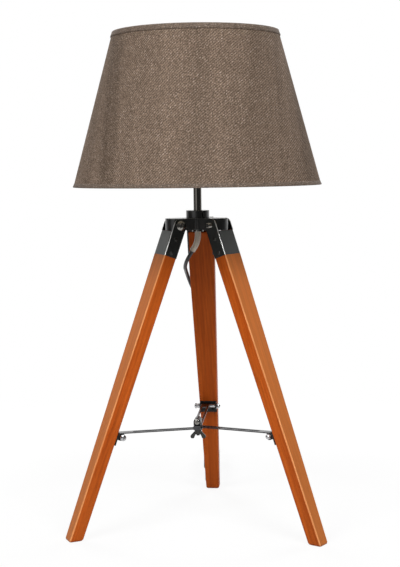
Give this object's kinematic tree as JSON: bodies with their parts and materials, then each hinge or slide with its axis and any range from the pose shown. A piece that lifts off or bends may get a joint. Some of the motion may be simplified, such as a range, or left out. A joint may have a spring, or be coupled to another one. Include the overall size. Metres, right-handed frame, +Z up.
{
  "type": "tripod table lamp",
  "caption": "Table lamp with a tapered drum shade on a short metal stem, held by a hub on splayed wooden legs that fold inwards and are set by slotted straps and a wing nut.",
  "frame": {"origin": "on the floor under the stem's axis", "axes": "+Z up along the stem, +Y towards the rear leg, +X to the right seen from the front, between the other two legs"},
  "size_m": [0.3098, 0.5578, 0.6],
  "materials": {
    "black_metal": "semi-gloss black paint",
    "grey_steel": "satin grey sheet steel",
    "dark_chrome": "polished dark chrome",
    "black_chrome": "polished black chrome",
    "bright_steel": "bright plated steel",
    "black_plastic": "matt moulded plastic",
    "brass": "plain brass",
    "frosted_glass": "frosted white",
    "shade_cloth": "taupe slubbed linen",
    "shade_binding": "darker taupe binding",
    "cord_rubber": "smooth black",
    "clear_sleeve": "translucent sleeve",
    "stained_wood": "satin reddish-orange stain, fine straight grain"
  },
  "bodies": {
    "lamp": {"hub_block": "black_metal", "hub_collar": "black_metal", "base_disc": "bright_steel", "rod": "dark_chrome", "lead_inside": "cord_rubber", "cord_sleeve": "clear_sleeve", "holder_cap": "black_plastic", "holder_body": "black_plastic", "holder_thread": "brass", "holder_contact": "brass", "shade_nut": "black_metal", "bulb_base": "bright_steel", "bulb_globe": "frosted_glass", "shade_fabric": "shade_cloth", "shade_trim_top": "shade_binding", "shade_trim_bottom": "shade_binding", "shade_wire_top": "bright_steel", "shade_wire_bottom": "bright_steel", "shade_spokes": "bright_steel", "fitter_ring": "bright_steel", "cord": "cord_rubber", "cord_hank": "cord_rubber", "cord_tail": "cord_rubber", "hank_tie": "cord_rubber", "plug_body": "cord_rubber", "plug_blades": "brass"},
    "leg_rear": {"leg_rear": "stained_wood", "bracket_rear": "grey_steel", "bracket_nails_rear": "grey_steel", "hinge_bolt_rear": "bright_steel", "clip_rear": "black_metal", "clip_screws_rear": "black_metal", "clip_bolt_rear": "bright_steel", "clip_nut_rear": "bright_steel"},
    "leg_left": {"leg_left": "stained_wood", "bracket_left": "grey_steel", "bracket_nails_left": "grey_steel", "hinge_bolt_left": "bright_steel", "clip_left": "black_metal", "clip_screws_left": "black_metal", "clip_bolt_left": "bright_steel", "clip_nut_left": "bright_steel"},
    "leg_right": {"leg_right": "stained_wood", "bracket_right": "grey_steel", "bracket_nails_right": "grey_steel", "hinge_bolt_right": "bright_steel", "clip_right": "black_metal", "clip_screws_right": "black_metal", "clip_bolt_right": "bright_steel", "clip_nut_right": "bright_steel"},
    "strap_rear": {"strap_rear": "black_chrome"},
    "strap_left": {"strap_left": "black_chrome"},
    "strap_right": {"strap_right": "black_chrome"},
    "clamp": {"clamp_saddle": "black_metal", "cross_screw": "bright_steel", "clamp_bolt": "bright_steel", "clamp_washer": "bright_steel"},
    "wing_nut": {"wing_nut": "bright_steel"},
    "switch": {"switch_knob": "black_plastic"}
  },
  "joints": [
    {"name": "leg_fold_rear", "type": "hinge", "parent": "lamp", "child": "leg_rear", "pos_m": [0, 0.03, 0.37], "axis": [-1, 0, 0], "range_deg": [0, 15]},
    {"name": "leg_fold_left", "type": "hinge", "parent": "lamp", "child": "leg_left", "pos_m": [-0.02598, -0.015, 0.37], "axis": [0.5, -0.866, 0], "range_deg": [0, 15]},
    {"name": "leg_fold_right", "type": "hinge", "parent": "lamp", "child": "leg_right", "pos_m": [0.02598, -0.015, 0.37], "axis": [0.5, 0.866, 0], "range_deg": [0, 15]},
    {"name": "strap_pivot_rear", "type": "hinge", "parent": "leg_rear", "child": "strap_rear", "pos_m": [0, 0.10618, 0.12544], "axis": [-1, 0, 0], "range_deg": [-15, 0]},
    {"name": "strap_pivot_left", "type": "hinge", "parent": "leg_left", "child": "strap_left", "pos_m": [-0.09352, -0.05399, 0.12056], "axis": [0.5, -0.866, 0], "range_deg": [-15, 0]},
    {"name": "strap_pivot_right", "type": "hinge", "parent": "leg_right", "child": "strap_right", "pos_m": [0.09273, -0.05354, 0.123], "axis": [0.5, 0.866, 0], "range_deg": [-15, 0]},
    {"name": "clamp_slide", "type": "slide", "parent": "strap_right", "child": "clamp", "axis": [0.8651, -0.4995, 0.0454], "range_m": [0, 0.0667]},
    {"name": "wing_nut_turn", "type": "hinge", "parent": "clamp", "child": "wing_nut", "pos_m": [-0.003, 0, 0.113], "axis": [0, 0, 1], "continuous": true},
    {"name": "switch_turn", "type": "hinge", "parent": "lamp", "child": "switch", "pos_m": [0.02, 0, 0.454], "axis": [1, 0, 0], "continuous": true}
  ],
  "couplings": [
    {"joint": "leg_fold_left", "follows": "leg_fold_rear", "ratio": 1},
    {"joint": "leg_fold_right", "follows": "leg_fold_rear", "ratio": 1},
    {"joint": "strap_pivot_rear", "follows": "leg_fold_rear", "ratio": -1},
    {"joint": "strap_pivot_left", "follows": "leg_fold_rear", "ratio": -1},
    {"joint": "strap_pivot_right", "follows": "leg_fold_rear", "ratio": -1},
    {"joint": "clamp_slide", "follows": "leg_fold_rear", "m_per_rad": 0.25352}
  ]
}
